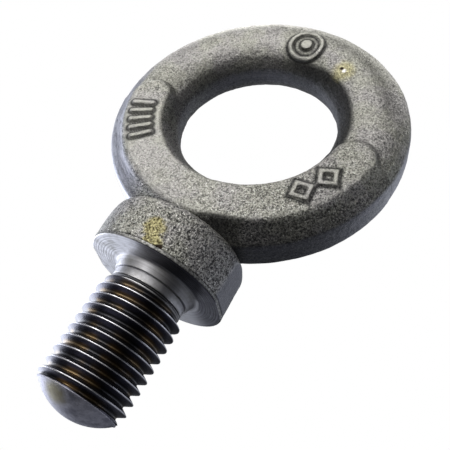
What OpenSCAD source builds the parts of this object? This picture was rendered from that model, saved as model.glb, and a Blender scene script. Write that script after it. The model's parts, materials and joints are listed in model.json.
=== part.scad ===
// Collar eye bolt, M20: one drop forging with a round lifting eye and a collar, and a turned, threaded shank.
// It is built as its named zones, which meet face to face and together make the whole forging.
// Frame: the origin is the centre of the machined seat, on the thread's axis. +Z runs from the seat up to
// the eye, the thread runs down -Z, the hole of the eye runs along Y, and -Y is the front.

/* [Eye] */
// Outside diameter of the ring
ring_od = 73; // [71:0.5:74]
// Diameter of the hole of the eye
eye_d = 39; // [38:0.5:40]
// Height of the eye's centre above the seat
eye_h = 47.5; // [46.5:0.5:48]
// Thickness of the ring from front to back
ring_t = 15; // [14.5:0.5:16]
// Width of the trimmed flat band round the ring's inner and outer equator
trim_band_w = 4; // [3:0.5:5]

/* [Marking lands] */
// Height of a land's flat top above the ring's face
land_rise = 0.5; // [0.4:0.1:0.8]
// Width of a land's flat top
land_w = 9; // [8:0.5:9.5]
// Radius of the middle of a land, from the eye's centre
land_mid_r = 27.3; // [27:0.1:28]
// Length of a land, as an angle round the ring, centred on the collar
land_arc = 161; // [150:1:180]
// Height of the raised marks
mark_rise = 0.5; // [0.4:0.1:0.8]

/* [Collar] */
// Diameter of the collar at its seat
collar_d = 32.5; // [32:0.5:34]
// Height of the collar
collar_h = 12; // [11.5:0.5:13]
// Draft angle of the collar's side
collar_draft = 1; // [1:1:4]
// Radius of the collar's rounded shoulder
shoulder_r = 2.8; // [2:0.2:3]
// Distance across the two trimmed flats on the collar's sides
trim_flat_w = 31.2; // [30.6:0.2:31.4]
// Depth of the machined zone under the collar
seat_t = 0.8; // [0.6:0.1:1.2]
// Diameter of the flare where the ring grows out of the collar
flare_d = 25; // [24:0.5:26]
// Height of that flare
flare_h = 3.5; // [2.5:0.5:4]

/* [Shank] */
// Major diameter of the thread
thread_d = 20; // [20]
// Pitch of the thread
pitch = 2.5; // [2.5]
// Number of full crests
crests = 10; // [8:1:12]
// Length of the shank above the first crest
neck_l = 3.8; // [3.4:0.2:5]
// Diameter of the plain neck
neck_d = 17.2; // [17:0.2:18]
// Diameter of the turned cone where the shank meets the seat
root_d = 21; // [20.8:0.2:22]
// Height of that cone
root_h = 2.1; // [1:0.1:2.4]
// Diameter of the domed end at its rim
dome_d = 18.4; // [17.8:0.2:18.8]
// Height of the domed end
dome_h = 3.7; // [2.5:0.1:4]

/* [Hidden] */
$fn = 96;
forged_colour = [0.36, 0.35, 0.33];
turned_colour = [0.62, 0.62, 0.63];
thread_colour = [0.30, 0.29, 0.28];
// a cutter runs this far past what it cuts
past = 1;

// The ring's section: two arcs that meet the two trimmed bands
band_r = (ring_od - eye_d) / 4;
ring_mid_r = (ring_od + eye_d) / 4;
arc_rise = (ring_t - trim_band_w) / 2;
arc_r = (band_r * band_r + arc_rise * arc_rise) / (2 * arc_rise);
arc_shift = arc_r - ring_t / 2;

// The lands: a flat top and sloping walls that end inside the ring
land_top = ring_t / 2 + land_rise;
land_depth = 2.6;
land_foot = ring_t / 2 - land_depth;
land_slope = 0.6;
land_start = 270 - land_arc / 2;
land_end = 270 + land_arc / 2;

// The raised marks on the front, placed by their angle round the ring: five bars, two hollow diamonds
// and a button
bar_l = 6;
bar_w = 1.3;
bar_outset = 0.6;
bar_r = land_mid_r + bar_outset;
bar_count = 5;
bar_start = 198;
bar_step = 5.4;
bar_angles = [for (i = [0:bar_count - 1]) bar_start + bar_step * i];
diamond_w = 4.4;
diamond_rim = 1.1;
diamond_angles = [319, 333];
button_d = 9.2;
button_angle = 86.5;
button_inset = 2.1;
button_r = ring_mid_r - button_inset;
button_rim = 1.1;
button_dot_d = 3;
button_sink = 2;
button_tilt = asin((button_r - ring_mid_r) / arc_r);

// The collar
collar_r = collar_d / 2;
shoulder_z = collar_h - shoulder_r;
shoulder_x = collar_r - collar_h * tan(collar_draft) - shoulder_r;
trim_side = collar_d;
flare_taper = 2.6;

// The thread, whose crests and roots are flats of 1/8 and 1/6 of the pitch
thread_r = thread_d / 2;
thread_depth = 0.6134 * pitch;
crest_w = pitch / 8;
root_w = pitch / 6;
flank_w = (pitch - crest_w - root_w) / 2;
rim_gap = 0.1;
thread_top = -neck_l;
thread_end = thread_top - crests * pitch - rim_gap;
dome_r = dome_d / 2;
dome_sphere_r = (dome_r * dome_r + dome_h * dome_h) / (2 * dome_h);

// An arc of points about a centre, from one angle to another
function arc(x, y, r, from, to, n) =
    [for (i = [0:n]) let (a = from + (to - from) * i / n) [x + r * cos(a), y + r * sin(a)]];

// Stands its children, drawn round Z, on the ring's axis with their +Z to the front
module on_ring() {
    translate([0, 0, eye_h]) rotate([90, 0, 0]) children();
}

module ring_solid() {
    on_ring() rotate_extrude() intersection() {
        translate([ring_mid_r, -arc_shift]) circle(r = arc_r);
        translate([ring_mid_r, arc_shift]) circle(r = arc_r);
        translate([eye_d / 2, -ring_t / 2]) square([2 * band_r, ring_t]);
    }
}

module land_solid() {
    rotate([0, 0, land_start])
        rotate_extrude(angle = land_arc)
            polygon([[land_mid_r - land_w / 2 - land_slope, land_foot],
                     [land_mid_r + land_w / 2 + land_slope, land_foot],
                     [land_mid_r + land_w / 2, land_top],
                     [land_mid_r - land_w / 2, land_top]]);
    for (a = [land_start, land_end])
        rotate([0, 0, a]) translate([land_mid_r, 0, land_foot])
            cylinder(h = land_top - land_foot, r1 = land_w / 2 + land_slope, r2 = land_w / 2);
}

// The collar's body, from the seat to the flat top inside the ring's root
module collar_solid() {
    difference() {
        rotate_extrude()
            polygon(concat([[0, 0], [collar_r, 0]],
                           arc(shoulder_x, shoulder_z, shoulder_r, collar_draft, 90, 8),
                           [[0, collar_h]]));
        for (side = [-1, 1])
            translate([side * (trim_flat_w + trim_side) / 2, 0, collar_h / 2])
                cube([trim_side, trim_side, collar_h + 2 * past], center = true);
    }
}

module flare_solid() {
    translate([0, 0, collar_h])
        cylinder(h = flare_h, d1 = flare_d, d2 = flare_d - flare_taper * flare_h);
}

module marking_land() {
    color(forged_colour) difference() {
        on_ring() land_solid();
        ring_solid();
        collar_solid();
        flare_solid();
    }
}

// The lifting ring, above the collar and its flare
module eye_ring() {
    color(forged_colour) difference() {
        ring_solid();
        collar_solid();
        flare_solid();
    }
}

module front_marking_land() {
    marking_land();
}

module back_marking_land() {
    mirror([0, 1, 0]) marking_land();
}

// A plain raised rim round a plain dot at the top of the ring, square to the ring's rounded face
module crown_button() {
    color(forged_colour) difference() {
        on_ring() rotate([0, 0, button_angle])
            translate([ring_mid_r, 0, -arc_shift]) rotate([0, button_tilt, 0])
                translate([0, 0, arc_r - button_sink]) {
                    difference() {
                        cylinder(h = button_sink + mark_rise, d = button_d);
                        translate([0, 0, -past])
                            cylinder(h = button_sink + mark_rise + 2 * past, d = button_d - 2 * button_rim);
                    }
                    cylinder(h = button_sink + mark_rise, d = button_dot_d);
                }
        ring_solid();
    }
}

// Plain bars across the left limb of the front land
module left_land_bars() {
    color(forged_colour) on_ring()
        for (a = bar_angles)
            rotate([0, 0, a]) translate([bar_r, 0, land_top])
                linear_extrude(mark_rise) {
                    square([bar_l - bar_w, bar_w], center = true);
                    for (end = [-1, 1])
                        translate([end * (bar_l - bar_w) / 2, 0]) circle(d = bar_w);
                }
}

// Plain hollow diamonds on the right limb of the front land
module right_land_diamonds() {
    color(forged_colour) on_ring()
        for (a = diamond_angles)
            rotate([0, 0, a]) translate([land_mid_r, 0, land_top])
                rotate([0, 0, 45]) linear_extrude(mark_rise) difference() {
                    square(diamond_w, center = true);
                    square(diamond_w - 2 * diamond_rim, center = true);
                }
}

// The forged flare between the collar's top and the ring
module ring_root_flare() {
    color(forged_colour) flare_solid();
}

// The forged collar, above the zone that is machined
module collar() {
    color(forged_colour) intersection() {
        collar_solid();
        translate([0, 0, seat_t + collar_h])
            cube([2 * collar_d, 2 * collar_d, 2 * collar_h], center = true);
    }
}

// The machined face that the collar sits on, a ring round the root of the shank
module seat_ring() {
    color(turned_colour) intersection() {
        collar_solid();
        difference() {
            translate([0, 0, seat_t / 2])
                cube([2 * collar_d, 2 * collar_d, seat_t], center = true);
            translate([0, 0, -past])
                cylinder(h = seat_t + 2 * past, d = root_d);
        }
    }
}

// The turned cone between the seat and the neck, with the core that carries on up through the seat's ring
module shank_root_cone() {
    color(turned_colour) rotate_extrude()
        polygon([[0, -root_h], [neck_d / 2, -root_h], [root_d / 2, 0], [root_d / 2, seat_t], [0, seat_t]]);
}

module plain_neck() {
    color(turned_colour) translate([0, 0, -neck_l])
        cylinder(h = neck_l - root_h, d = neck_d);
}

// One thread crest as ring outline points, from the root above it to the root below it
function crest_points(z) = [
    [thread_r - thread_depth, z + crest_w / 2 + flank_w],
    [thread_r, z + crest_w / 2],
    [thread_r, z - crest_w / 2],
    [thread_r - thread_depth, z - crest_w / 2 - flank_w]];

// The thread, its crests as plain rings one pitch apart
module threaded_shank() {
    color(thread_colour) rotate_extrude()
        polygon(concat([[0, thread_end], [0, thread_top]],
                       [[thread_r - thread_depth, thread_top]],
                       [for (i = [0:crests - 1]) each crest_points(thread_top - (i + 0.5) * pitch)],
                       [[thread_r - thread_depth, thread_end + rim_gap], [dome_r, thread_end]]));
}

module domed_point() {
    color(turned_colour) intersection() {
        translate([0, 0, thread_end - dome_h + dome_sphere_r]) sphere(r = dome_sphere_r);
        translate([0, 0, thread_end - dome_h]) cylinder(h = dome_h, d = thread_d);
    }
}

eye_ring();
front_marking_land();
back_marking_land();
crown_button();
left_land_bars();
right_land_diamonds();
ring_root_flare();
collar();
seat_ring();
shank_root_cone();
plain_neck();
threaded_shank();
domed_point();
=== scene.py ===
"""Collar eye bolt, M20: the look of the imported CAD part.

The forging (ring, lands, marks, collar) is meshed from one smooth distance field, so that its zones blend
like one forging, and is then cut into the named zones. The machined zones are turned profiles, and the
thread is a true right-hand helix. Lengths are millimetres until a mesh is made.
"""
import json
import math

import bpy
import numpy as np
from mathutils import Matrix, Vector


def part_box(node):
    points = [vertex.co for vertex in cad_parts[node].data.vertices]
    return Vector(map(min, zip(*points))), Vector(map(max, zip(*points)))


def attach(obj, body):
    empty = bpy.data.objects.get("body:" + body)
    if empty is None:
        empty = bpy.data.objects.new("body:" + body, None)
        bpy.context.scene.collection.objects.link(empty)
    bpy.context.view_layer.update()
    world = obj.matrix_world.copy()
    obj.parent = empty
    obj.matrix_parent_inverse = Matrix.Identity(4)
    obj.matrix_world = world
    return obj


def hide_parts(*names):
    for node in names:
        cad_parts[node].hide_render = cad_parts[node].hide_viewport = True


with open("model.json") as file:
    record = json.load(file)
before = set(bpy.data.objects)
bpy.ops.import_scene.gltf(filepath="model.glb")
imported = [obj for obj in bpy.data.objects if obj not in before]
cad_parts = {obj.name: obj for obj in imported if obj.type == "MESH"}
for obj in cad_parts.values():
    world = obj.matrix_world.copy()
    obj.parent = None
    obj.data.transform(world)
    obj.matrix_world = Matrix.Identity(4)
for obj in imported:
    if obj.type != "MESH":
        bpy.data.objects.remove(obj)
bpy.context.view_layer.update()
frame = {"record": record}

MM = 0.001


# ---------------------------------------------------------------- sizes from the CAD

def low(node):
    return np.array(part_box(node)[0]) / MM


def high(node):
    return np.array(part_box(node)[1]) / MM


mounts = {m["name"]: m for m in frame["record"]["mounts"]}
EYE_Z = mounts["eye"]["pos_m"][2] / MM
EYE_R = mounts["eye"]["dims"]["r_mm"]
RING_R = high("eye_ring")[2] - EYE_Z
RING_HALF_T = high("eye_ring")[1]
RING_MID_R = (RING_R + EYE_R) / 2
RING_BAND_R = (RING_R - EYE_R) / 2
LAND_TOP = high("back_marking_land")[1]
MARK_RISE = -low("left_land_bars")[1] - LAND_TOP
COLLAR_R = high("seat_ring")[1]
COLLAR_FLAT = high("seat_ring")[0]
COLLAR_H = high("collar")[2]
SEAT_T = high("seat_ring")[2]
ROOT_R = high("shank_root_cone")[0]
ROOT_Z = low("shank_root_cone")[2]
NECK_R = high("plain_neck")[0]
NECK_Z = low("plain_neck")[2]
THREAD_R = mounts["thread"]["dims"]["r_mm"]
THREAD_Z = low("threaded_shank")[2]
DOME_R = high("domed_point")[0]
DOME_Z = low("domed_point")[2]
PITCH = 2.5
DEPTH_PER_PITCH = 0.6134
THREAD_DEPTH = DEPTH_PER_PITCH * PITCH


# ---------------------------------------------------------------- small maths

FAR = 99.0
TINY = 1e-6
HASH_X, HASH_Y, HASH_Z, HASH_SEED = 374761393, 668265263, 2147483647, 974634777
HASH_MIX = 1274126177
LOW_BITS = 0xFFFF


def smooth_min(a, b, k):
    """The smaller of two distances, rounded off over the width k where they meet."""
    h = np.clip(0.5 + 0.5 * (b - a) / k, 0, 1)
    return b + (a - b) * h - k * h * (1 - h)


def smooth_max(a, b, k):
    """The larger of two distances, rounded off in the same way."""
    return -smooth_min(-a, -b, k)


def ramp(x, start, end):
    """0 before the start, 1 after the end, and smooth between them."""
    t = np.clip((x - start) / (end - start), 0, 1)
    return t * t * (3 - 2 * t)


def bell(distance, width):
    """1 at distance 0, falling away on both sides over the width."""
    return np.exp(-(distance / width) ** 2)


def lattice(i, j, k, seed):
    """A fixed pseudo-random value from -1 to 1 at each whole-number point."""
    h = i * HASH_X + j * HASH_Y + k * HASH_Z + seed * HASH_SEED
    h = (h ^ (h >> 13)) * HASH_MIX
    h = h ^ (h >> 16)
    return (h & LOW_BITS) / (LOW_BITS / 2) - 1


def value_noise(p, seed):
    """Smooth noise from -1 to 1 at points p, with one bump per unit."""
    cell = np.floor(p).astype(np.int64)
    f = p - cell
    u = f * f * (3 - 2 * f)
    total = 0
    for corner in range(8):
        dx, dy, dz = corner & 1, corner >> 1 & 1, corner >> 2 & 1
        w = ((u[:, 0] if dx else 1 - u[:, 0]) * (u[:, 1] if dy else 1 - u[:, 1])
             * (u[:, 2] if dz else 1 - u[:, 2]))
        total = total + w * lattice(cell[:, 0] + dx, cell[:, 1] + dy, cell[:, 2] + dz, seed)
    return total


# ---------------------------------------------------------------- the forging's distance field

OVAL_HALF_T = RING_HALF_T - 0.2
OUTER_BAND_CUT = 0.65
INNER_BAND_CUT = 0.15
BAND_EDGE = 0.5
LAND_MID_R = 27.3
LAND_HALF_W = 4.5
LAND_HALF_ARC = math.radians(80.5)
# Slopes of a land's walls: sideways run for each millimetre of depth.
INNER_WALL = 0.55
OUTER_WALL = 1.0
END_WALL = 0.5
WALL_CHANGE = (-1.5, 4.0)
END_RUN = 2.5
LAND_EDGE = 0.9
LAND_FOOT = 0.5
COLLAR_DRAFT = math.tan(math.radians(1))
COLLAR_BULGE = 0.45
BULGE_SPAN = (4, 13)
FLAT_EDGE = 0.5
SHOULDER_R = 2.8
ROOT_FILLET = 2.0

BAR_R = 27.9
BAR_HALF_L = 3.0
BAR_HALF_W = 0.65
BAR_ANGLES = [math.radians(198 + 5.4 * i) for i in range(5)]
DIAMOND_HALF_W = 2.2
DIAMOND_RIM = 1.1
DIAMOND_ANGLES = [math.radians(a) for a in (319, 333)]
BUTTON_R = 25.9
BUTTON_ANGLE = math.radians(86.5)
BUTTON_OUTER = 4.6
BUTTON_RIM = 1.1
BUTTON_DOT = 1.5
BUTTON_SLOPE = math.atan2(BUTTON_R - RING_MID_R, RING_HALF_T)
DIAMOND_EDGE = 0.3
MARK_EDGE = 0.25
MARKS_FRONT_Y = -2


def across_land(x, z):
    """Distance from the middle line of the lands, and the angle past their ends."""
    rho = np.hypot(x, z - EYE_Z)
    turn = np.arctan2(x, EYE_Z - z)
    over = np.clip(np.abs(turn) - LAND_HALF_ARC, 0, None)
    to_end = np.hypot(rho * np.cos(over) - LAND_MID_R, rho * np.sin(over))
    return np.where(over > 0, to_end, np.abs(rho - LAND_MID_R)), over


def ring_parts(x, y, z):
    """Distances to the ring's oval section, to its lands and to its trimmed bands."""
    rho = np.hypot(x, z - EYE_Z)
    t = rho - RING_MID_R
    half_w = np.where(t > 0, RING_BAND_R + OUTER_BAND_CUT, RING_BAND_R + INNER_BAND_CUT)
    k0 = np.sqrt((t / half_w) ** 2 + (y / OVAL_HALF_T) ** 2) + TINY
    k1 = np.sqrt((t / half_w ** 2) ** 2 + (y / OVAL_HALF_T ** 2) ** 2) + TINY
    oval = k0 * (k0 - 1) / k1
    band = np.abs(t) - RING_BAND_R

    across, over = across_land(x, z)
    wall = INNER_WALL + (OUTER_WALL - INNER_WALL) * ramp(rho - LAND_MID_R, *WALL_CHANGE)
    wall = wall + (END_WALL - wall) * ramp(over * rho, 0, END_RUN)
    depth = LAND_TOP - np.abs(y)
    side = (across - LAND_HALF_W - wall * depth) / np.sqrt(1 + wall ** 2)
    land = smooth_max(side, -depth, LAND_EDGE)
    return oval, land, band


def ring_and_lands(x, y, z):
    oval, land, band = ring_parts(x, y, z)
    return smooth_max(smooth_min(oval, land, LAND_FOOT), band, BAND_EDGE)


def collar_field(x, y, z):
    """A drafted round collar with a rounded shoulder and two flats, a little fuller on its left."""
    r = np.hypot(x, y)
    bulge = COLLAR_BULGE * ramp(-x, *BULGE_SPAN) * np.sin(np.pi * np.clip(z / COLLAR_H, 0, 1))
    dx = r - (COLLAR_R + bulge - z * COLLAR_DRAFT) + SHOULDER_R
    dz = z - COLLAR_H + SHOULDER_R
    outside = np.hypot(np.maximum(dx, 0), np.maximum(dz, 0))
    body = np.minimum(np.maximum(dx, dz), 0) + outside - SHOULDER_R
    return smooth_max(body, np.abs(x) - COLLAR_FLAT, FLAT_EDGE)


def on_ring(x, z, radius, angle):
    """Radial and tangential offset from the point at that radius and angle round the eye."""
    cx, cz = radius * math.cos(angle), EYE_Z + radius * math.sin(angle)
    dx, dz = x - cx, z - cz
    return (dx * math.cos(angle) + dz * math.sin(angle), -dx * math.sin(angle) + dz * math.cos(angle))


def bars_plan(x, z):
    d = FAR
    for a in BAR_ANGLES:
        u, v = on_ring(x, z, BAR_R, a)
        past = np.maximum(np.abs(u) - BAR_HALF_L + BAR_HALF_W, 0)
        d = np.minimum(d, np.hypot(past, v) - BAR_HALF_W)
    return d


def diamonds_plan(x, z):
    d = FAR
    for a in DIAMOND_ANGLES:
        u, v = on_ring(x, z, LAND_MID_R, a)
        box = np.maximum(np.abs(u + v), np.abs(u - v)) / math.sqrt(2) - DIAMOND_HALF_W
        d = np.minimum(d, smooth_max(box, -(box + DIAMOND_RIM), DIAMOND_EDGE))
    return d


def button_plan(x, y, z):
    """The button's plan is wrapped round the ring's section, so that it stays round on the slope."""
    v = on_ring(x, z, BUTTON_R, BUTTON_ANGLE)[1]
    slope = np.arctan2(np.hypot(x, z - EYE_Z) - RING_MID_R, -y)
    r = np.where(z > EYE_Z, np.hypot(RING_HALF_T * (slope - BUTTON_SLOPE), v), FAR)
    rim = np.abs(r - BUTTON_OUTER + BUTTON_RIM / 2) - BUTTON_RIM / 2
    return np.minimum(rim, r - BUTTON_DOT)


def marks_plan(x, y, z):
    """Distance outside the nearest mark, seen along the marks' own rise."""
    plan = np.minimum(np.minimum(bars_plan(x, z), diamonds_plan(x, z)), button_plan(x, y, z))
    return np.where(y < MARKS_FRONT_Y, plan, FAR)


def forging(x, y, z):
    """Distance to the whole forging, cut flat where the seat ring starts."""
    ring = ring_and_lands(x, y, z)
    marks = smooth_max(ring - MARK_RISE, marks_plan(x, y, z), MARK_EDGE)
    eye = smooth_min(ring, marks, MARK_EDGE)
    return np.maximum(smooth_min(eye, collar_field(x, y, z), ROOT_FILLET), SEAT_T - z)


# ---------------------------------------------------------------- meshing the field

GRID = 0.34
MARGIN = 1.2
SLICE_MARGIN = 1
LOW_MARGIN = 2
NOT_MEASURED = 9.0
GRADIENT_STEP = 0.02
PULL_STEPS = 3
LEAST_SLOPE = 0.2


def fill_field():
    """The field on a grid round the forging, and the grid's first corner.

    Above the collar only the thin slice that holds the ring is measured.
    """
    first = np.array([-RING_R, -COLLAR_R, SEAT_T]) - MARGIN
    last = np.array([RING_R, COLLAR_R, EYE_Z + RING_R]) + MARGIN
    n = np.ceil((last - first) / GRID).astype(int) + 1
    axes = [first[i] + GRID * np.arange(n[i]) for i in range(3)]
    values = np.full(n, NOT_MEASURED)
    thin = np.abs(axes[1]) < LAND_TOP + MARK_RISE + SLICE_MARGIN
    ys = {True: axes[1], False: axes[1][thin]}
    for k, z in enumerate(axes[2]):
        low_down = bool(z < COLLAR_H + ROOT_FILLET + LOW_MARGIN)
        x, y = np.meshgrid(axes[0], ys[low_down], indexing="ij")
        slab = forging(x, y, np.full_like(x, z))
        if low_down:
            values[:, :, k] = slab
        else:
            values[:, thin, k] = slab
    return values, first


def surface_net(values, first):
    """One vertex in each cell that the surface passes through, one quad for each crossed grid edge."""
    inside = values < 0
    nx, ny, nz = np.array(inside.shape) - 1
    corners = [(a, b, c) for a in (0, 1) for b in (0, 1) for c in (0, 1)]
    count = sum(inside[a:nx + a, b:ny + b, c:nz + c].astype(int) for a, b, c in corners)
    active = (count > 0) & (count < len(corners))
    index = np.full(active.shape, -1)
    index[active] = np.arange(active.sum())
    total = np.zeros((active.sum(), 3))
    hits = np.zeros(active.sum())
    quads = []
    for axis in range(3):
        here, there = [slice(None)] * 3, [slice(None)] * 3
        here[axis], there[axis] = slice(0, -1), slice(1, None)
        start = np.argwhere(inside[tuple(here)] != inside[tuple(there)])
        end = start.copy()
        end[:, axis] += 1
        va, vb = values[tuple(start.T)], values[tuple(end.T)]
        point = start.astype(float)
        point[:, axis] += va / (va - vb)
        u, v = (axis + 1) % 3, (axis + 2) % 3
        quad = []
        for du, dv in ((-1, -1), (0, -1), (0, 0), (-1, 0)):
            cell = start.copy()
            cell[:, u] += du
            cell[:, v] += dv
            q = index[tuple(cell.T)]
            quad.append(q)
            hits += np.bincount(q, minlength=len(hits))
            for c in range(3):
                total[:, c] += np.bincount(q, weights=point[:, c], minlength=len(hits))
        quad = np.stack(quad, 1)
        quad[va > 0] = quad[va > 0][:, ::-1]
        quads.append(quad)
    return first + GRID * total / hits[:, None], np.concatenate(quads)


def gradient(p):
    g = np.empty_like(p)
    for c in range(3):
        d = np.zeros(3)
        d[c] = GRADIENT_STEP
        g[:, c] = (forging(*(p + d).T) - forging(*(p - d).T)) / (2 * GRADIENT_STEP)
    return g


def sum_at_corners(quads, per_quad, size):
    """Adds each quad's vector to each of its four vertices."""
    total = np.zeros((size, 3))
    for c in range(3):
        total[:, c] = np.bincount(quads.ravel(), weights=np.repeat(per_quad[:, c], 4), minlength=size)
    return total


def relax(verts, quads):
    """Moves each vertex halfway to the mean of its quads' centres."""
    total = sum_at_corners(quads, verts[quads].mean(1), len(verts))
    n = np.bincount(quads.ravel(), minlength=len(verts))
    return (verts + total / n[:, None]) / 2


def pull_to_surface(verts):
    for _ in range(PULL_STEPS):
        g = gradient(verts)
        slope = np.maximum((g * g).sum(1), LEAST_SLOPE)
        move = forging(*verts.T)[:, None] * g / slope[:, None]
        verts = verts - np.clip(move, -GRID / 2, GRID / 2)
    return verts


def mesh_forging():
    verts, quads = surface_net(*fill_field())
    verts = pull_to_surface(verts)
    verts = pull_to_surface(relax(verts, quads))
    return verts, quads


def vertex_normals(verts, quads):
    p = verts[quads]
    total = sum_at_corners(quads, np.cross(p[:, 2] - p[:, 0], p[:, 3] - p[:, 1]), len(verts))
    return total / np.linalg.norm(total, axis=1)[:, None]


# Above this height the skin is the ring's, below it the collar's.
RING_FROM = COLLAR_H + 1
# How far inside a trimmed face its brightness starts and is full, and how much of it is left.
TRIM_WIDE = 0.45
TRIM_SHARP = 0.1
FLAT_FADE = 0.5
# The outer band's trimmed look fades towards the right; in its brushed colour, this fade is partly painted
# shade.
OUTER_DULLING = 0.55
DULLING_SPAN = (-16, 4)
INNER_TRIM = 0.2
INNER_TRIM_ABOVE = 0.3
CROWN_SPAN = (5, 15)

# Layers of unevenness in the forged skin: bumps for each millimetre, height, seed.
SKIN_LAYERS = [(0.28, 0.070, 1), (0.75, 0.050, 2), (1.6, 0.040, 3)]
PIT_SCALE, PIT_SEED, PIT_DEPTH = 0.9, 4, 0.16
PIT_SPAN = (0.55, 0.95)
DRAG_SCALES, DRAG_SEED, DRAG_DEPTH = np.array([0.08, 1.5, 0.08]), 5, 0.03
CALM_SPAN = (0.1, 1.5)
TRIM_CALMS = 0.85
SINK = 0.05


def trimmed(p):
    """How freshly trimmed the steel is: the ring's bands, most on the left, and the collar's flats."""
    x, y, z = p.T
    t = np.hypot(x, z - EYE_Z) - RING_MID_R
    band = ramp(np.abs(t), RING_BAND_R - TRIM_WIDE, RING_BAND_R - TRIM_SHARP)
    outer = 1 - OUTER_DULLING * ramp(x, *DULLING_SPAN)
    inner = INNER_TRIM + INNER_TRIM_ABOVE * ramp(z - EYE_Z, *CROWN_SPAN)
    flat = ramp(np.abs(x), COLLAR_FLAT - FLAT_FADE, COLLAR_FLAT - TRIM_SHARP)
    return np.where(z < RING_FROM, flat, band * np.where(t > 0, outer, inner))


def roughen(verts, quads):
    """The forged skin: broad unevenness, grain and small pits, and drag lines on the trimmed bands."""
    n = vertex_normals(verts, quads)
    smooth = trimmed(verts)
    skin = sum(height * value_noise(verts * scale, seed) for scale, height, seed in SKIN_LAYERS)
    pits = ramp(value_noise(verts * PIT_SCALE, PIT_SEED), *PIT_SPAN)
    drag = DRAG_DEPTH * value_noise(verts * DRAG_SCALES, DRAG_SEED)
    calm = ramp(verts[:, 2] - SEAT_T, *CALM_SPAN)
    move = (skin - PIT_DEPTH * pits) * (1 - TRIM_CALMS * smooth) + drag * smooth - SINK
    return verts + n * (move * calm)[:, None]


# ---------------------------------------------------------------- cutting the forging into its zones

# How far round a mark or a land its zone reaches, and how deep the zones' inner faces lie.
MARK_FOOT = 0.3
LAND_FOOT_W = 0.3
LAND_WALL_H = 1.6
ROOT_REACH = 6
FLARE_HALF_W = 1.4
MOST_ROUNDS = 40
MARK_DEPTH = 0.9
LAND_DEPTH = 1.8


def name_zones(verts, quads):
    """The zone of each quad, from the place of its centre."""
    x, y, z = verts[quads].mean(1).T
    ring, collar = ring_and_lands(x, y, z), collar_field(x, y, z)
    on_land = (across_land(x, z)[0] < LAND_HALF_W + LAND_FOOT_W) & (np.abs(y) > LAND_TOP - LAND_WALL_H)
    front = y < -LAND_TOP / 2
    zone = np.full(len(quads), "eye_ring", dtype="U24")
    zone[on_land & front] = "front_marking_land"
    zone[on_land & (y > LAND_TOP / 2)] = "back_marking_land"
    zone[front & (button_plan(x, y, z) < MARK_FOOT)] = "crown_button"
    zone[front & on_land & (bars_plan(x, z) < MARK_FOOT)] = "left_land_bars"
    zone[front & on_land & (diamonds_plan(x, z) < MARK_FOOT)] = "right_land_diamonds"
    near_root = z < COLLAR_H + ROOT_REACH
    zone[near_root & (collar < ring + FLARE_HALF_W)] = "ring_root_flare"
    zone[near_root & (collar < ring - FLARE_HALF_W)] = "collar"
    return zone


def border(quads, chosen):
    """The directed edges of the chosen quads that no other chosen quad shares."""
    q = quads[chosen]
    edges = np.concatenate([q[:, [i, (i + 1) % 4]] for i in range(4)])
    size = quads.max() + 1
    key = edges[:, 0] * size + edges[:, 1]
    twin = edges[:, 1] * size + edges[:, 0]
    return edges[~np.isin(key, twin)]


def tidy_set(quads, chosen):
    """Drops quads until the set's border never touches itself at a vertex."""
    chosen = chosen.copy()
    for _ in range(MOST_ROUNDS):
        degree = np.bincount(border(quads, chosen).ravel(), minlength=quads.max() + 1)
        bad = np.nonzero(degree > 2)[0]
        if not len(bad):
            break
        chosen &= ~np.isin(quads, bad).any(1)
    return chosen


# Painted shade on the skin: darker round the marks' feet, in creases, and on sheltered and lower sides. Spans
# are (start, end) and bells are (place, width), in millimetres.
MARK_SHADE = (0.4, 0.42)
ROOT_SHADE = (0.7, 1.7)
ROOT_SHADE_TOP = 8
ROOT_SHADE_SHARE = 0.95
CREASE = (0.15, 0.3)
CREASE_SHARE = 0.6
# Painted shade on the eye's inner slope: more on the right, less at the top left.
SHELTER_R = 22.6
SHELTER_SPAN = (0, 1.4)
SHELTER_SIDE = (0, 14)
SHELTER_BAND = (LAND_TOP - 1.6, LAND_TOP - 0.8)
SHELTER_LEAST, SHELTER_MORE, SHELTER_LESS = 0.6, 0.4, 0.25
TOP_LEFT_UP = (8, 18)
TOP_LEFT_ACROSS = (0, 8)
RIGHT_SPAN = (-6, 6)
# Painted shade low on the ring's right, deepest in a corner beside the collar.
CORNER_X, CORNER_Z = 8, COLLAR_H + 3
CORNER_SPREAD = 90
CORNER_SHARE = 0.98
CORNER_CLIMB = 1.8
UNDER_SHARE = 0.66
UNDER_OUT = (0.6, 1.6)
UNDER_ACROSS = (-8, 6)
UNDER_DOWN = (0, 30)
# Painted shade in a band along the ring's upper shoulder.
SHOULDER_BELL = (31.0, 1.8)
SHOULDER_SHARE = 0.36
LAND_OUTER_R = LAND_MID_R + LAND_HALF_W

# Wear on the lands' edges and on the marks; painted highlight on the lands' edges and lower faces and along
# the ring's crest; and a lighter brushed look down the ring's left side, partly painted reflection.
EDGE_WEAR = (LAND_OUTER_R - 0.3, 0.5)
EDGE_WEAR_Y = (LAND_TOP - 1.0, LAND_TOP - 0.2)
EDGE_SHARE = 0.5
MARK_TOP_SPAN = (-0.05, 0.2)
MARK_TOP_SHARE = 0.8
FACE_Y = (LAND_TOP - 0.7, LAND_TOP - 0.2)
FACE_MOST = 0.85
FACE_MIDDLE = 0.4
FACE_FALL = 45
FACE_SPAN = (1, 13)
CREST_BELL = (25.5, 1.8)
CREST_ACROSS = (-6, 4)
CREST_SHARE = 0.3
LEFT_OUT = (0.4, 1.4)
LEFT_ACROSS = (12, 20)
LEFT_DOWN = (-10, 2)
LEFT_SHARE = 0.75


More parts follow.
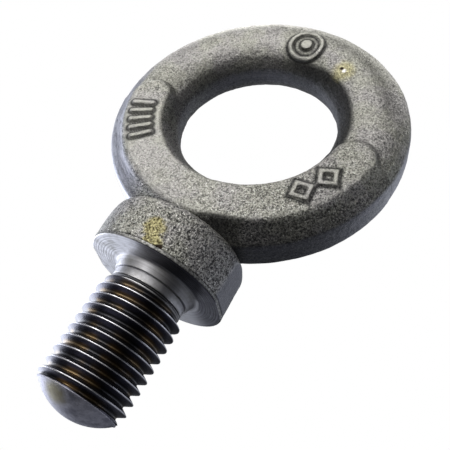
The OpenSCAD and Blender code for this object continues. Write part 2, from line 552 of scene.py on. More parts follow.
def painted_shade_places(x, y, z):
    """Painted shade: darker round the marks' feet, at the root, in the lands' creases, on the sheltered inner
    slope, low on the right and along the upper shoulder.
    """
    rho = np.hypot(x, z - EYE_Z)
    collar = collar_field(x, y, z)
    oval, land, _ = ring_parts(x, y, z)
    round_marks = bell(marks_plan(x, y, z) - MARK_SHADE[0], MARK_SHADE[1])
    root = bell(collar - ring_and_lands(x, y, z) - ROOT_SHADE[0], ROOT_SHADE[1])
    root = ROOT_SHADE_SHARE * root * (z < COLLAR_H + ROOT_SHADE_TOP)
    crease = CREASE_SHARE * bell(land - oval - CREASE[0], CREASE[1])

    inside = ramp(SHELTER_R + ramp(x, *SHELTER_SIDE) - rho, *SHELTER_SPAN)
    inside = inside * (1 - ramp(np.abs(y), *SHELTER_BAND))
    at_top_left = ramp(z - EYE_Z, *TOP_LEFT_UP) * ramp(-x, *TOP_LEFT_ACROSS)
    share = SHELTER_LEAST + SHELTER_MORE * ramp(x, *RIGHT_SPAN) - SHELTER_LESS * at_top_left
    sheltered = inside * share

    corner = CORNER_SHARE * np.exp(-((x - CORNER_X) ** 2 + (z - CORNER_Z) ** 2) / CORNER_SPREAD)
    under = ramp(rho - LAND_OUTER_R + CORNER_CLIMB * corner, *UNDER_OUT)
    under = under * ramp(x, *UNDER_ACROSS) * ramp(EYE_Z - z, *UNDER_DOWN)
    under = np.maximum(UNDER_SHARE, corner) * under
    shoulder = ramp(z - EYE_Z, *CROWN_SPAN) * bell(rho - SHOULDER_BELL[0], SHOULDER_BELL[1])

    shaded = np.maximum.reduce([sheltered, crease, under, SHOULDER_SHARE * shoulder]) * (z > COLLAR_H)
    return np.clip(np.maximum(round_marks + root, shaded), 0, 1)


def wear_and_painted_light(x, y, z):
    """Wear and painted highlights: worn mark tops, the lands' outer edge worn and painted lighter, the lands'
    lower face painted lighter towards the left, and a painted highlight along the ring's crest.
    """
    rho = np.hypot(x, z - EYE_Z)
    edge = bell(rho - EDGE_WEAR[0], EDGE_WEAR[1]) * ramp(np.abs(y), *EDGE_WEAR_Y) * (rho > RING_MID_R)
    top = ramp(-marks_plan(x, y, z), *MARK_TOP_SPAN) * (y < 0)
    face = ramp(np.abs(y), *FACE_Y) * np.clip(FACE_MIDDLE - x / FACE_FALL, 0, FACE_MOST)
    face = face * ramp(EYE_Z - z, *FACE_SPAN) * (z > COLLAR_H)
    crest = ramp(z - EYE_Z, *CROWN_SPAN) * ramp(-x, *CREST_ACROSS)
    crest = crest * bell(rho - CREST_BELL[0], CREST_BELL[1])
    return np.clip(EDGE_SHARE * edge + MARK_TOP_SHARE * top + face + CREST_SHARE * crest, 0, 1)


def skin_marks(p):
    """Skin attribute: red is trimmed, green is painted shade, blue is wear and painted highlight, and alpha
    dulls the collar's flats.
    """
    x, y, z = p.T
    # A lighter brushed look down the ring's left side: partly trimmed finish, partly painted reflection.
    left = ramp(np.hypot(x, z - EYE_Z) - LAND_OUTER_R, *LEFT_OUT)
    left = left * ramp(-x, *LEFT_ACROSS) * ramp(EYE_Z - z, *LEFT_DOWN) * (z > RING_FROM)
    smooth = np.maximum(trimmed(p), LEFT_SHARE * left)
    return np.stack([smooth, painted_shade_places(x, y, z), wear_and_painted_light(x, y, z), z < RING_FROM], 1)


SHARP_ANGLE = math.radians(32)


def new_piece(name, verts, quads, tris, material, replaced, normals=None, colours=None):
    """A closed mesh piece from shared vertices in millimetres.

    The normals, where given, are one for each corner of the faces, quads first.
    """
    quads, tris = np.reshape(quads, (-1, 4)), np.reshape(tris, (-1, 3))
    corners = np.concatenate([quads.ravel(), tris.ravel()]).astype(int)
    used, local = np.unique(corners, return_inverse=True)
    sizes = np.r_[np.full(len(quads), 4), np.full(len(tris), 3)]
    mesh = bpy.data.meshes.new(name)
    mesh.vertices.add(len(used))
    mesh.vertices.foreach_set("co", (verts[used] * MM).ravel())
    mesh.loops.add(len(corners))
    mesh.loops.foreach_set("vertex_index", local.ravel())
    mesh.polygons.add(len(sizes))
    mesh.polygons.foreach_set("loop_start", np.cumsum(sizes) - sizes)
    mesh.polygons.foreach_set("use_smooth", np.ones(len(sizes), bool))
    mesh.update(calc_edges=True)
    if colours is not None:
        skin = mesh.color_attributes.new("skin", "FLOAT_COLOR", "POINT")
        skin.data.foreach_set("color", colours[used].ravel())
    if normals is None:
        mesh.set_sharp_from_angle(angle=SHARP_ANGLE)
    else:
        mesh.normals_split_custom_set(normals.tolist())
    obj = bpy.data.objects.new(name + "_look", mesh)
    bpy.context.scene.collection.objects.link(obj)
    mesh.materials.append(material)
    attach(obj, "root")
    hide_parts(replaced)


def flat_normals(verts, faces):
    p = verts[faces]
    n = np.cross(p[:, 1] - p[:, 0], p[:, -1] - p[:, 0])
    n /= np.maximum(np.linalg.norm(n, axis=1), TINY ** 2)[:, None]
    return np.repeat(n, faces.shape[1], axis=0)


def cut_forging(verts, quads, material):
    """The forging as its named zones. Neighbours share the very same inner faces, with no gap."""
    n = len(verts)
    normals = vertex_normals(verts, quads)
    colours = skin_marks(verts)
    zone = name_zones(verts, quads)
    land_marks = ["left_land_bars", "right_land_diamonds"]
    marks = {name: tidy_set(quads, zone == name) for name in ["crown_button"] + land_marks}
    front = tidy_set(quads, np.isin(zone, ["front_marking_land"] + land_marks))
    back = tidy_set(quads, zone == "back_marking_land")
    lower = tidy_set(quads, np.isin(zone, ["collar", "ring_root_flare"]))
    collar = tidy_set(quads, zone == "collar") & lower

    down = np.array([0, 1.0, 0])
    layers = [verts, verts + MARK_DEPTH * down, verts + LAND_DEPTH * down, verts - LAND_DEPTH * down]
    loops = {"root": border(quads, lower), "collar": border(quads, collar)}
    middles = [verts[loops[k][:, 0]].mean(0) for k in ("root", "collar")]
    points = np.concatenate(layers + [np.array(middles)])
    colours = np.concatenate([colours] * len(layers) + [np.ones((2, 4))])

    def under(chosen, layer):
        return quads[chosen] + layer * n

    def wall(chosen, layer):
        a, b = border(quads, chosen).T
        return np.stack([b, a, a + layer * n, b + layer * n], 1)

    def fan(loop, middle):
        a, b = loop.T
        return np.stack([b, a, np.full(len(a), len(layers) * n + middle)], 1)

    def pocket(chosen, layer):
        """The inner faces of a neighbour, seen from the piece that it sits in."""
        return [under(chosen, layer), wall(chosen, layer)[:, ::-1]]

    def base(chosen, layer):
        return [under(chosen, layer)[:, ::-1], wall(chosen, layer)]

    def add(name, outer, inner, tris=()):
        inner = np.concatenate(inner) if inner else np.zeros((0, 4), int)
        tris = np.concatenate(tris) if tris else np.zeros((0, 3), int)
        at_corners = np.concatenate([normals[quads[outer].ravel()],
                                     flat_normals(points, inner), flat_normals(points, tris)])
        new_piece(name, points, np.concatenate([quads[outer], inner]), tris,
                  material, name, at_corners, colours)

    bars, diamonds = [marks[name] for name in land_marks]
    add("front_marking_land", front & ~bars & ~diamonds,
        pocket(bars, 1) + pocket(diamonds, 1) + base(front, 2))
    add("back_marking_land", back, base(back, 3))
    for name, chosen in marks.items():
        add(name, chosen, base(chosen, 1))
    add("collar", collar, [], [fan(loops["collar"], 1)])
    add("ring_root_flare", lower & ~collar, [], [fan(loops["root"], 0), fan(loops["collar"], 1)[:, ::-1]])
    add("eye_ring", ~(front | back | lower | marks["crown_button"]),
        pocket(front, 2) + pocket(back, 3) + pocket(marks["crown_button"], 1),
        [fan(loops["root"], 0)[:, ::-1]])


# ---------------------------------------------------------------- the machined zones

TURNS = 192
HAIR = 0.02
FLAT_SETBACK = 0.02
FLAT_CORNER = 0.3
LEAST_COS = 0.1

# Turning grooves of each face: spacing and height.
SEAT_GROOVES = (0.65, 0.012)
CONE_GROOVES = (0.32, 0.005)
NECK_GROOVES = (0.36, 0.008)
DOME_GROOVES = (0.7, 0.006)

SEAT_START = 0.05
SEAT_EDGE = 0.3
SEAT_STEP = 0.13
CONE_STEPS = 22
CONE_HOLLOW = 0.8
CONE_FILLET = 0.75
CONE_FOOT = 0.4
CONE_LENGTH = 2.0
CONE_LIP = 0.1
CONE_DROP = 0.06
CORE_INSET = 0.3
UNDERCUT = 0.22
NECK_STEPS = 16
NECK_SINK = 0.03
FIT = 0.08
DOME_STEPS = 40
DOME_LIP = 0.12
DOME_LIP_H = 0.18
DOME_LIFT = 0.008
END_R = DOME_R - 0.1


def turned(name, profile, material, limit=None, closed=False):
    """A turned piece from (radius, height) points: top down with two end faces, or a closed ring."""
    profile = np.array(profile, float)
    angle = np.arange(TURNS) * 2 * np.pi / TURNS
    r = np.repeat(profile[:, 0][:, None], TURNS, 1)
    if limit is not None:
        r = np.minimum(r, limit(angle)[None, :] - FLAT_SETBACK * (COLLAR_R - r))
    z = np.repeat(profile[:, 1][:, None], TURNS, 1)
    verts = np.stack([r * np.cos(angle), r * np.sin(angle), z], -1).reshape(-1, 3)
    rows = np.arange(len(profile))
    pairs = list(zip(rows, np.roll(rows, -1)))
    here = np.arange(TURNS)
    there = (here + 1) % TURNS
    quads = []
    for a, b in pairs if closed else pairs[:-1]:
        a, b = a * TURNS, b * TURNS
        quads.append(np.stack([a + here, a + there, b + there, b + here], 1))
    quads = np.concatenate(quads)
    tris = []
    if not closed:
        last = (len(profile) - 1) * TURNS
        poles = np.array([[0, 0, profile[0, 1]], [0, 0, profile[-1, 1]]])
        pole = len(verts)
        verts = np.concatenate([verts, poles])
        quads = quads[:, ::-1]
        tris = np.concatenate([np.stack([here, there, np.full(TURNS, pole)], 1),
                               np.stack([last + there, last + here, np.full(TURNS, pole + 1)], 1)])
    new_piece(name, verts, quads, tris, material, name)


def arc(cx, cz, r, start, end, n):
    a = np.radians(np.linspace(start, end, n))
    return [(cx + r * math.cos(t), cz + r * math.sin(t)) for t in a]


def tool_marks(along, grooves):
    """Height of the fine turning grooves at a place along the cut."""
    spacing, height = grooves
    return height * math.sin(2 * math.pi * along / spacing)


def collar_limit(angle):
    """How far out the collar reaches at an angle, with its two trimmed flats."""
    return smooth_min(COLLAR_R, COLLAR_FLAT / np.maximum(np.abs(np.cos(angle)), LEAST_COS), FLAT_CORNER)


def seat_ring(material):
    """The machined face, with its grooves just above the seat plane and a rounded outer edge."""
    edge = SEAT_EDGE
    lift = SEAT_GROOVES[1]
    radii = np.arange(ROOT_R + SEAT_START, COLLAR_R - edge, SEAT_STEP)
    face = [(r, lift + tool_marks(r, SEAT_GROOVES)) for r in radii]
    top = COLLAR_R - SEAT_T * COLLAR_DRAFT
    profile = [(ROOT_R, HAIR)] + face + arc(COLLAR_R - edge, edge, edge, -80, 0, 6)
    profile += [(top, SEAT_T), (ROOT_R, SEAT_T)]
    turned("seat_ring", profile, material, collar_limit, closed=True)


def shank_root_cone(material):
    """The core through the seat and a slightly hollow cone, ending in the undercut above the neck."""
    start_r, end_r = ROOT_R - CONE_FILLET, NECK_R + CONE_FOOT
    cone = []
    for t in np.linspace(0, 1, CONE_STEPS + 1):
        r = start_r + (end_r - start_r) * t ** CONE_HOLLOW
        r += tool_marks(t * CONE_LENGTH, CONE_GROOVES)
        cone.append((r, (ROOT_Z + UNDERCUT) * t - CONE_DROP))
    profile = [(ROOT_R, SEAT_T), (ROOT_R, HAIR), (ROOT_R - CORE_INSET, 0), (start_r + CONE_LIP, -HAIR)]
    profile += cone + [(end_r - CONE_DROP, ROOT_Z + 2 * HAIR), (NECK_R - CORE_INSET, ROOT_Z)]
    turned("shank_root_cone", profile, material)


def plain_neck(material):
    """The neck starts in a fine undercut below the cone."""
    heights = np.linspace(ROOT_Z - UNDERCUT, NECK_Z + FIT, NECK_STEPS)
    side = [(NECK_R - NECK_SINK + tool_marks(z, NECK_GROOVES), z) for z in heights]
    undercut = [(NECK_R - CORE_INSET, ROOT_Z), (NECK_R - CORE_INSET, ROOT_Z - FIT)]
    profile = undercut + side + [(NECK_R - FIT, NECK_Z)]
    turned("plain_neck", profile, material)


def domed_point(material):
    """A part of a sphere under a narrow lip."""
    height = THREAD_Z - DOME_Z
    sphere_r = (DOME_R ** 2 + height ** 2) / (2 * height)
    rim = math.asin((DOME_R - DOME_LIP) / sphere_r)
    dome = []
    for i in range(DOME_STEPS):
        a = rim * (1 - i / DOME_STEPS)
        r = sphere_r * math.sin(a)
        z = DOME_Z + sphere_r * (1 - math.cos(a))
        dome.append((r, z + tool_marks(r, DOME_GROOVES) + DOME_LIFT))
    lip = [(END_R, THREAD_Z), (DOME_R, THREAD_Z - FIT), (DOME_R, THREAD_Z - DOME_LIP_H)]
    profile = lip + dome[1:] + [(FIT, DOME_Z + DOME_LIFT / 2)]
    turned("domed_point", profile, material)


FIRST_CREST = -5.17
FIRST_CREST_ANGLE = 210 / 360
SPARE_TURNS = 3
THREAD_STEPS = 160
# Half a thread's section as (offset along the axis, depth under the crest).
HALF_THREAD = [(0.0, 0.0), (0.07, 0.01), (0.13, 0.07), (0.40, 0.49), (0.66, 0.94), (0.92, 1.38), (1.01, 1.47),
               (1.10, THREAD_DEPTH), (PITCH / 2, THREAD_DEPTH + HAIR)]
DENT_HEIGHT, DENTS_ROUND, DENTS_ALONG, DENT_SEED = 0.02, 10, 2, 7
RUN_OUT = (0.1, 2.8)
END_CHAMFER = 0.75
END_STEP = 0.05
END_CLOSE = (0.05, 0.5)


def thread_profile():
    """Offsets down from a crest and the radius there, over one pitch."""
    down = [(o, THREAD_R - d) for o, d in HALF_THREAD]
    return down + [(PITCH - o, r) for o, r in down[-2:0:-1]]


def threaded_shank(material):
    """A right-hand helix on a sheared grid, cut off flat at the neck and at the dome."""
    profile = thread_profile()
    per_turn = len(profile)
    turns = math.ceil((NECK_Z - THREAD_Z) / PITCH) + SPARE_TURNS
    offset = np.array([o + PITCH * t for t in range(turns) for o, _ in profile])
    radius = np.array([r for _ in range(turns) for _, r in profile])
    share = np.arange(THREAD_STEPS) / THREAD_STEPS
    top = FIRST_CREST - PITCH * FIRST_CREST_ANGLE + SPARE_TURNS * PITCH
    z = top + PITCH * share[:, None] - offset[None, :]
    angle = 2 * np.pi * share[:, None] + 0 * z
    r = radius[None, :] + 0 * z
    places = np.stack([DENTS_ROUND * np.cos(angle), DENTS_ROUND * np.sin(angle), z * DENTS_ALONG], -1)
    r = r + DENT_HEIGHT * value_noise(places.reshape(-1, 3), DENT_SEED).reshape(r.shape)
    start_r = NECK_R - FIT
    r = start_r + (np.minimum(r, THREAD_R) - start_r) * ramp(NECK_Z - z, *RUN_OUT)
    chamfer = DOME_R + END_STEP + END_CHAMFER * (z - THREAD_Z)
    r = END_R + (np.minimum(r, chamfer) - END_R) * ramp(z - THREAD_Z, *END_CLOSE)
    ids = np.arange(z.size).reshape(z.shape)
    ids = np.where(z >= NECK_Z, z.size + np.arange(THREAD_STEPS)[:, None], ids)
    ids = np.where(z <= THREAD_Z, z.size + THREAD_STEPS + np.arange(THREAD_STEPS)[:, None], ids)
    body = np.stack([r * np.cos(angle), r * np.sin(angle), z], -1).reshape(-1, 3)
    ring = np.stack([np.cos(2 * np.pi * share), np.sin(2 * np.pi * share), 0 * share], 1)
    verts = np.concatenate([body, ring * [start_r, start_r, 0] + [0, 0, NECK_Z],
                            ring * [END_R, END_R, 0] + [0, 0, THREAD_Z],
                            [[0, 0, NECK_Z], [0, 0, THREAD_Z]]])
    step = ids[:, per_turn:]
    following = np.concatenate([ids[1:, per_turn:], ids[:1, :-per_turn]])
    quads = np.stack([step[:, :-1], step[:, 1:], following[:, 1:], following[:, :-1]], -1).reshape(-1, 4)
    same = quads == np.roll(quads, -1, 1)
    whole = quads[same.sum(1) == 0]
    tris = []
    for q in quads[same.sum(1) == 1]:
        tris.append([v for i, v in enumerate(q) if v != q[(i + 1) % 4]])
    here = np.arange(THREAD_STEPS)
    there = (here + 1) % THREAD_STEPS
    upper, lower = z.size, z.size + THREAD_STEPS
    pole = z.size + 2 * THREAD_STEPS
    tris += np.stack([upper + here, upper + there, np.full(THREAD_STEPS, pole)], 1).tolist()
    tris += np.stack([lower + there, lower + here, np.full(THREAD_STEPS, pole + 1)], 1).tolist()
    new_piece("threaded_shank", verts, whole, np.array(tris), material,
              "threaded_shank")


# ---------------------------------------------------------------- materials

# Stains: place, size and softness, in millimetres.
RUST_COLLAR = ((1.0, -16.1, 4.4), 2.6, 1.5)
RUST_LOW = ((2.2, -16.0, 1.6), 2.4, 1.2)
RUST_RING = ((13.8, -6.8, 68.2), 2.4, 2.4)
FLECK = ((13.95, -6.85, 68.15), 0.5, 0.45)
FLECK_PIT = ((13.1, -6.75, 68.75), 0.45, 0.4)
BURNT_PIT = ((4.0, -15.7, 0.8), 1.0, 0.5)
DOME_DIRT = ((-1.2, -6.9, -30.5), 1.8, 2.6)

# Colours of the forged skin.
SCALE_WARM, SCALE_GREY = (0.42, 0.42, 0.375), (0.41, 0.40, 0.39)
PIT_WARM, PIT_GREY = (0.028, 0.028, 0.024), (0.028, 0.028, 0.031)
GLINT = (0.85, 0.85, 0.82)
BRUSHED_DARK, BRUSHED_LIGHT = (0.25, 0.26, 0.31), (0.52, 0.53, 0.62)
DULL_FLAT = (0.05, 0.05, 0.055)
# Worn steel and painted highlights share this colour.
WORN_AND_HIGHLIGHT = (0.5, 0.5, 0.47)
# Painted shade: the near-black the skin darkens to in hollows, creases and shaded sides.
SHADE_BLACK = (0.012, 0.012, 0.014)
RUST_DARK, RUST_LIGHT = (0.06, 0.045, 0.010), (0.56, 0.51, 0.23)
FLECK_BRIGHT = (0.9, 0.88, 0.85)
BURNT = (0.02, 0.012, 0.008)

# Colours of the machined zones.
TURNED_DARK, TURNED_LIGHT = (0.40, 0.40, 0.42), (0.60, 0.60, 0.63)
TURNED_STAIN = (0.22, 0.21, 0.17)
# Painted shadow on the seat's right side, with the turning lines still showing.
SEAT_SHADOW_DARK, SEAT_SHADOW_LIGHT = (0.02, 0.02, 0.032), (0.13, 0.13, 0.17)
RIM_DARK, RIM_LIGHT = (0.05, 0.05, 0.05), (0.34, 0.34, 0.33)
# Thread: flanks and roots are dark partly with painted shade, and the crests carry a painted highlight.
FLANK_DARK, FLANK_LIGHT = (0.03, 0.03, 0.042), (0.11, 0.11, 0.14)
ROOT_OIL_AND_SHADE, ROOT_AMBER = (0.05, 0.05, 0.055), (0.14, 0.10, 0.055)
CREST_HIGHLIGHT = (0.6, 0.6, 0.64)
RUN_OUT_DARK, RUN_OUT_LIGHT = (0.08, 0.08, 0.085), (0.45, 0.45, 0.46)
DOME_DARK, DOME_LIGHT = (0.24, 0.24, 0.30), (0.55, 0.55, 0.63)
DIRT = (0.30, 0.27, 0.14)
SPECK = (0.10, 0.10, 0.09)

# Where a pattern changes, in millimetres of height or radius.
# The skin's speckle is softer and painted lighter higher up, and sharper and darker low down: partly grain,
# partly painted light.
SPECKLE_SOFTENS = (15.0, 75.0)
# Where the painted shadow on the seat's right side starts and is full.
SHADOW_SIDE = (1.0, -0.35, 0.0)
SHADOW_SPAN = (1.0, 10.0)
RIM_HEIGHT = (0.03, 0.22)
RIM_RADIUS = (14.0, 14.6)
FLANK_RADIUS = (THREAD_R - 1.4, THREAD_R - 0.8)
CREST_RADIUS = (THREAD_R - 0.1, THREAD_R)

ACROSS = (1.0, 1.0, 0.0)
UPWARD = (0.0, 0.0, 1.0)


class Nodes:
    """A material's node tree, with short helpers."""

    def __init__(self, name):
        self.material = bpy.data.materials.new(name)
        self.material.use_nodes = True
        self.tree = self.material.node_tree
        self.shader = self.tree.nodes["Principled BSDF"]
        place = self.add("ShaderNodeTexCoord")
        self.mm = self.vector("SCALE", place.outputs["Object"], scale=1 / MM)

    def add(self, kind, **settings):
        node = self.tree.nodes.new(kind)
        for key, value in settings.items():
            setattr(node, key, value)
        return node

    def link(self, value, socket):
        if isinstance(value, bpy.types.NodeSocket):
            self.tree.links.new(value, socket)
        else:
            socket.default_value = value

    def math(self, operation, a, b=0.0, clamp=False):
        node = self.add("ShaderNodeMath", operation=operation, use_clamp=clamp)
        self.link(a, node.inputs[0])
        self.link(b, node.inputs[1])
        return node.outputs[0]

    def vector(self, operation, a, b=None, scale=None):
        node = self.add("ShaderNodeVectorMath", operation=operation)
        self.link(a, node.inputs[0])
        if b is not None:
            self.link(b, node.inputs[1])
        if scale is not None:
            self.link(scale, node.inputs["Scale"])
        is_number = operation in ("LENGTH", "DISTANCE", "DOT_PRODUCT")
        return node.outputs["Value" if is_number else "Vector"]

    def combine(self, x):
        node = self.add("ShaderNodeCombineXYZ")
        self.link(x, node.inputs[0])
        return node.outputs[0]

    def noise(self, scale, detail=2.0, rough=0.5, where=None):
        node = self.add("ShaderNodeTexNoise")
        self.link(self.mm if where is None else where, node.inputs["Vector"])
        node.inputs["Scale"].default_value = scale
        node.inputs["Detail"].default_value = detail
        node.inputs["Roughness"].default_value = rough
        return node.outputs["Fac"]

    def span(self, value, low, high, out_low=0.0, out_high=1.0):
        node = self.add("ShaderNodeMapRange", interpolation_type="SMOOTHSTEP")
        self.link(value, node.inputs["Value"])
        node.inputs["From Min"].default_value = low
        node.inputs["From Max"].default_value = high
        node.inputs["To Min"].default_value = out_low
        node.inputs["To Max"].default_value = out_high
        return node.outputs["Result"]

    def mix(self, factor, a, b):
        """The colour a where the factor is 0 and b where it is 1."""
        node = self.add("ShaderNodeMix", data_type="RGBA")
        self.link(factor, node.inputs["Factor"])
        for key, colour in (("A", a), ("B", b)):
            is_socket = isinstance(colour, bpy.types.NodeSocket)
            self.link(colour if is_socket else (*colour, 1.0), node.inputs[key])
        return node.outputs["Result"]

    def times(self, a, b):
        return self.math("MULTIPLY", a, b)

    def height(self):
        """Height above the seat, in millimetres."""
        return self.vector("DOT_PRODUCT", self.mm, UPWARD)

    def radius(self):
        """Distance from the thread's axis, in millimetres."""
        return self.vector("LENGTH", self.vector("MULTIPLY", self.mm, ACROSS))

    def spot(self, centre, size, soft):
        """1 near a point in millimetres, fading to 0 over the soft distance, with a ragged edge."""
        d = self.vector("DISTANCE", self.mm, centre)
        ragged = self.math("ADD", d, self.math("MULTIPLY", self.noise(0.9, 3.0), size * 0.8))
        return self.span(ragged, size + soft, size)

    def bump(self, height, depth):
        node = self.add("ShaderNodeBump")
        self.link(height, node.inputs["Height"])
        node.inputs["Strength"].default_value = 1.0
        node.inputs["Distance"].default_value = depth * MM
        self.link(node.outputs["Normal"], self.shader.inputs["Normal"])

    def finish(self, colour, rough, metal):
        self.link(colour, self.shader.inputs["Base Color"])
        self.link(rough, self.shader.inputs["Roughness"])
        self.shader.inputs["Metallic"].default_value = metal
        return self.material


def forged_material():
    """Blasted forging scale: speckled, sharper and darker low down and lighter higher up (partly painted
    light), with trimmed places, painted shade, wear with painted highlights, and rusty places.
    """
    m = Nodes("forged_skin")
    skin = m.add("ShaderNodeVertexColor", layer_name="skin")
    parts = m.add("ShaderNodeSeparateColor")
    m.link(skin.outputs["Color"], parts.inputs["Color"])
    trim, painted_shade, wear_and_highlight = parts.outputs
    grain = m.noise(2.3, 3.0, 0.7)
    coarse = m.noise(0.9, 2.0, 0.6)
    broad = m.noise(0.11, 3.0, 0.6)
    speckle = m.math("ADD", m.times(grain, 0.82), m.times(coarse, 0.18))
    # Partly painted light: the upper skin's tone is lighter and the lower skin's darker.
    upper = m.span(m.height(), *SPECKLE_SOFTENS)
    lower = m.math("SUBTRACT", 1.0, upper)
    soft = m.span(speckle, 0.20, 0.66)
    sharp = m.span(speckle, 0.38, 0.63)
    tone = m.math("ADD", m.times(soft, upper), m.times(sharp, lower))
    # Wear and painted highlights lighten the tone and the colour.
    tone = m.math("ADD", tone, m.times(wear_and_highlight, 0.45), clamp=True)
    glint = m.times(m.span(m.noise(3.1, 1.0, 0.5), 0.62, 0.72), lower)
    tint = m.span(broad, 0.4, 0.6)
    light = m.mix(tint, SCALE_WARM, SCALE_GREY)
    dark = m.mix(tint, PIT_WARM, PIT_GREY)
    colour = m.mix(tone, dark, light)
    colour = m.mix(m.times(glint, 0.8), colour, GLINT)
    drag = m.noise(1.0, 3.0, 0.7, m.vector("MULTIPLY", m.mm, (0.12, 2.2, 0.12)))
    brushed = m.mix(m.span(drag, 0.3, 0.7), BRUSHED_DARK, BRUSHED_LIGHT)
    brushed = m.mix(m.times(skin.outputs["Alpha"], 0.84), brushed, DULL_FLAT)
    # Brushed colour of the trimmed places: on the ring's left side it is partly painted reflection, and its
    # fade on the outer band's right is partly painted shade.
    colour = m.mix(trim, colour, brushed)
    colour = m.mix(m.times(wear_and_highlight, 0.25), colour, WORN_AND_HIGHLIGHT)
    # Painted shade: the skin darkens where the green channel is high.
    colour = m.mix(m.times(painted_shade, 0.92), colour, SHADE_BLACK)
    rust = m.math("MAXIMUM", m.spot(*RUST_COLLAR), m.spot(*RUST_LOW))
    rust = m.math("MAXIMUM", rust, m.times(m.spot(*RUST_RING), 0.7))
    rusty = m.mix(tone, RUST_DARK, RUST_LIGHT)
    colour = m.mix(m.times(rust, 0.8), colour, rusty)
    colour = m.mix(m.spot(*FLECK), colour, FLECK_BRIGHT)
    burnt = m.math("MAXIMUM", m.spot(*FLECK_PIT), m.spot(*BURNT_PIT))
    colour = m.mix(burnt, colour, BURNT)
    rough = m.span(speckle, 0.3, 0.7, 0.48, 0.30)
    rough = m.math("ADD", rough, m.times(painted_shade, 0.2))
    untrimmed = m.math("SUBTRACT", 1.0, m.times(trim, 0.7))
    m.bump(m.times(speckle, untrimmed), 0.35)
    return m.finish(colour, rough, 0.85)


def turned_material():
    """Turned steel: fine rings, stains, a painted shadow on the right side of the seat, and a blasted outer
    rim.
    """
    m = Nodes("turned_face")
    radius = m.radius()
    rings = m.vector("ADD", m.combine(m.times(radius, 5.0)), m.vector("SCALE", m.mm, scale=0.04))
    lines = m.noise(1.0, 3.0, 0.7, rings)
    stain = m.noise(0.3, 4.0, 0.65)
    colour = m.mix(m.span(lines, 0.3, 0.7), TURNED_DARK, TURNED_LIGHT)
    colour = m.mix(m.span(stain, 0.45, 0.75, 0.0, 0.5), colour, TURNED_STAIN)
    # Painted shadow: the seat darkens towards its right, where the shank shades it.
    right_side = m.span(m.vector("DOT_PRODUCT", m.mm, SHADOW_SIDE), *SHADOW_SPAN, 0.0, 0.96)
    darkening = m.times(right_side, m.span(radius, ROOT_R - 0.3, ROOT_R + 0.6))
    seat_shadow_colour = m.mix(m.span(lines, 0.45, 0.7), SEAT_SHADOW_DARK, SEAT_SHADOW_LIGHT)
    colour = m.mix(darkening, colour, seat_shadow_colour)
    rough = m.span(stain, 0.3, 0.7, 0.30, 0.46)
    rim = m.times(m.span(m.height(), *RIM_HEIGHT), m.span(radius, *RIM_RADIUS))
    grain = m.span(m.noise(2.3, 3.0, 0.7), 0.32, 0.68)
    colour = m.mix(rim, colour, m.mix(grain, RIM_DARK, RIM_LIGHT))
    rough = m.math("MAXIMUM", rough, m.times(rim, 0.5))
    m.bump(lines, 0.03)
    return m.finish(colour, rough, 1.0)


def thread_material():
    """Rolled thread: roots dark with oil and painted shade, flanks dark partly with painted shade, a painted
    highlight on the crests, and turned rings at the run-out.
    """
    m = Nodes("rolled_thread")
    wobble = m.math("ADD", m.radius(), m.times(m.noise(0.8, 2.0), 0.1))
    # Painted shade and highlight by radius: dark roots and flanks, bright crests.
    flank = m.mix(m.noise(0.5, 3.0), FLANK_DARK, FLANK_LIGHT)
    darkening = m.mix(m.span(m.noise(0.16, 2.0), 0.42, 0.62), ROOT_OIL_AND_SHADE, ROOT_AMBER)
    colour = m.mix(m.span(wobble, *FLANK_RADIUS), darkening, flank)
    colour = m.mix(m.span(wobble, *CREST_RADIUS), colour, CREST_HIGHLIGHT)
    height = m.height()
    rings = m.span(m.math("SINE", m.times(height, 11.0)), -0.3, 0.6)
    run_out = m.times(m.span(height, NECK_Z - 1.6, NECK_Z - 1.0), m.span(wobble, 9.4, 8.9))
    colour = m.mix(run_out, colour, m.mix(rings, RUN_OUT_DARK, RUN_OUT_LIGHT))
    rough = m.span(wobble, 9.8, 10.0, 0.32, 0.25)
    m.bump(m.noise(2.5, 3.0), 0.03)
    return m.finish(colour, rough, 1.0)


def dome_material():
    """The dome: smooth turned steel, cloudy, with a patch of dirt and fine dark specks."""
    m = Nodes("domed_point")
    stain = m.noise(0.45, 5.0, 0.7)
    fine = m.noise(2.6, 4.0, 0.7)
    colour = m.mix(m.span(stain, 0.3, 0.7), DOME_DARK, DOME_LIGHT)
    dirt = m.spot(*DOME_DIRT)
    colour = m.mix(m.times(dirt, 0.75), colour, DIRT)
    colour = m.mix(m.span(fine, 0.56, 0.72, 0.0, 0.6), colour, SPECK)
    m.bump(m.math("ADD", fine, stain), 0.06)
    return m.finish(colour, m.span(stain, 0.3, 0.7, 0.42, 0.58), 0.9)


# ---------------------------------------------------------------- camera, light, floor

YAW, TILT, ROLL = 0.4589, -0.4568, 0.5910
TARGET = Vector((0, 0, 20)) * MM
DISTANCE = 142.4 * MM
FOCAL = 49.62
SHIFT = (0.0516, -0.0259)
SENSOR = 36
CLIP = (0.005, 10)
FLOOR_Z = -0.2
FLOOR_HALF = 2.5
AMBIENT = 0.01
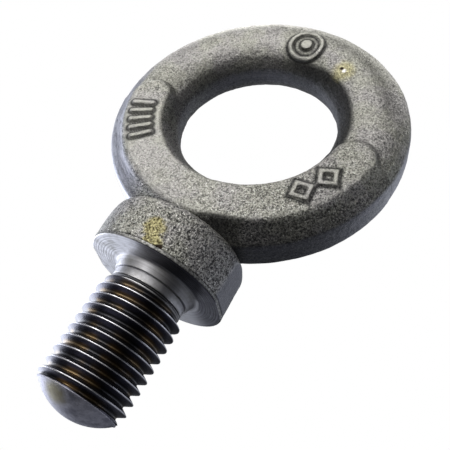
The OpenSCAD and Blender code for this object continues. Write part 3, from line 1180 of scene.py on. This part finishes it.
# Each soft light: its direction as (right, up, back) of the picture, how narrow it is, and its strength.
NEUTRAL_TINT = (1.0, 0.985, 0.96, 1)
NEUTRAL_LIGHTS = [
    ((-0.3, 0.95, 0.1), 45, 9.4),
    ((0, 1, -1), 45, 8.0),
    ((1, 1, -1), 45, 4.5),
    ((0, 0.9, 0.4), 45, 4.4),
    ((0, 1, 0), 45, 2.0),
    ((0, 1, 1), 8, 1.1),
    ((-0.6, 0.6, 0.8), 45, 1.6),
    ((-1, 1, 1), 8, 0.65),
    ((-1, 0, 0), 8, 0.45),
]
COOL_TINT = (0.86, 0.90, 1.0, 1)
COOL_LIGHTS = [
    ((-1, 0, -1), 8, 2.95),
    ((-0.9, -0.35, -0.75), 20, 3.6),
    ((1, 0, 0), 45, 1.6),
    ((0, -1, 0), 8, 0.35),
    ((1, -0.3, -1), 12, 0.9),
    ((1, -0.4, 0), 10, 0.42),
]

back = Vector((math.sin(YAW) * math.cos(TILT), -math.cos(YAW) * math.cos(TILT), math.sin(TILT)))
level = Vector((math.cos(YAW), math.sin(YAW), 0))
upright = back.cross(level)
right = level * math.cos(ROLL) + upright * math.sin(ROLL)
up = upright * math.cos(ROLL) - level * math.sin(ROLL)


def make_camera():
    data = bpy.data.cameras.new("camera")
    data.sensor_width = SENSOR
    data.lens = FOCAL
    data.shift_x, data.shift_y = SHIFT
    data.clip_start, data.clip_end = CLIP
    cam = bpy.data.objects.new("camera", data)
    bpy.context.scene.collection.objects.link(cam)
    turn = Matrix((right, up, back)).transposed().to_4x4()
    cam.matrix_world = Matrix.Translation(TARGET + back * DISTANCE) @ turn
    bpy.context.scene.camera = cam


def make_world():
    """Soft studio light: wide bright patches round the object, with a white background behind it."""
    world = bpy.data.worlds.new("studio")
    bpy.context.scene.world = world
    world.use_nodes = True
    tree = world.node_tree
    tree.nodes.clear()

    def add(kind, **settings):
        node = tree.nodes.new(kind)
        for key, value in settings.items():
            setattr(node, key, value)
        return node

    def math_node(operation, a, b):
        node = add("ShaderNodeMath", operation=operation)
        for socket, value in zip(node.inputs, (a, b)):
            if isinstance(value, bpy.types.NodeSocket):
                tree.links.new(value, socket)
            else:
                socket.default_value = value
        return node.outputs[0]

    place = add("ShaderNodeTexCoord")
    lit = []
    for lights, colour in ((NEUTRAL_LIGHTS, NEUTRAL_TINT), (COOL_LIGHTS, COOL_TINT)):
        total = AMBIENT
        for direction, power, strength in lights:
            dot = add("ShaderNodeVectorMath", operation="DOT_PRODUCT")
            tree.links.new(place.outputs["Generated"], dot.inputs[0])
            r, u, b = direction
            dot.inputs[1].default_value = (right * r + up * u + back * b).normalized()
            patch = math_node("POWER", math_node("MAXIMUM", dot.outputs["Value"], 0.0), power)
            total = math_node("ADD", math_node("MULTIPLY", patch, strength), total)
        lit.append(add("ShaderNodeBackground"))
        lit[-1].inputs["Color"].default_value = colour
        tree.links.new(total, lit[-1].inputs["Strength"])
    both = add("ShaderNodeAddShader")
    tree.links.new(lit[0].outputs[0], both.inputs[0])
    tree.links.new(lit[1].outputs[0], both.inputs[1])
    seen = add("ShaderNodeBackground")
    seen.inputs["Color"].default_value = (1, 1, 1, 1)
    path = add("ShaderNodeLightPath")
    mix = add("ShaderNodeMixShader")
    tree.links.new(path.outputs["Is Camera Ray"], mix.inputs[0])
    tree.links.new(both.outputs[0], mix.inputs[1])
    tree.links.new(seen.outputs[0], mix.inputs[2])
    out = add("ShaderNodeOutputWorld")
    tree.links.new(mix.outputs[0], out.inputs["Surface"])


def make_floor():
    """A plain pale floor below the bolt, kept out of its reflections."""
    mesh = bpy.data.meshes.new("floor")
    corners = [(x * FLOOR_HALF, y * FLOOR_HALF, FLOOR_Z) for x, y in ((-1, -1), (1, -1), (1, 1), (-1, 1))]
    mesh.from_pydata(corners, [], [(0, 1, 2, 3)])
    floor = bpy.data.objects.new("floor", mesh)
    bpy.context.scene.collection.objects.link(floor)
    m = Nodes("pale_floor")
    colour = m.mix(m.noise(0.004, 2.0), (0.80, 0.80, 0.80), (0.84, 0.84, 0.84))
    mesh.materials.append(m.finish(colour, 0.9, 0.0))
    floor.visible_glossy = floor.visible_diffuse = floor.visible_shadow = False


# ---------------------------------------------------------------- the scene

forged = forged_material()
turned_steel = turned_material()
verts, quads = mesh_forging()
cut_forging(roughen(verts, quads), quads, forged)
seat_ring(turned_steel)
shank_root_cone(turned_steel)
plain_neck(turned_steel)
threaded_shank(thread_material())
domed_point(dome_material())

make_camera()
make_world()
make_floor()
bpy.context.scene.view_settings.view_transform = "Standard"
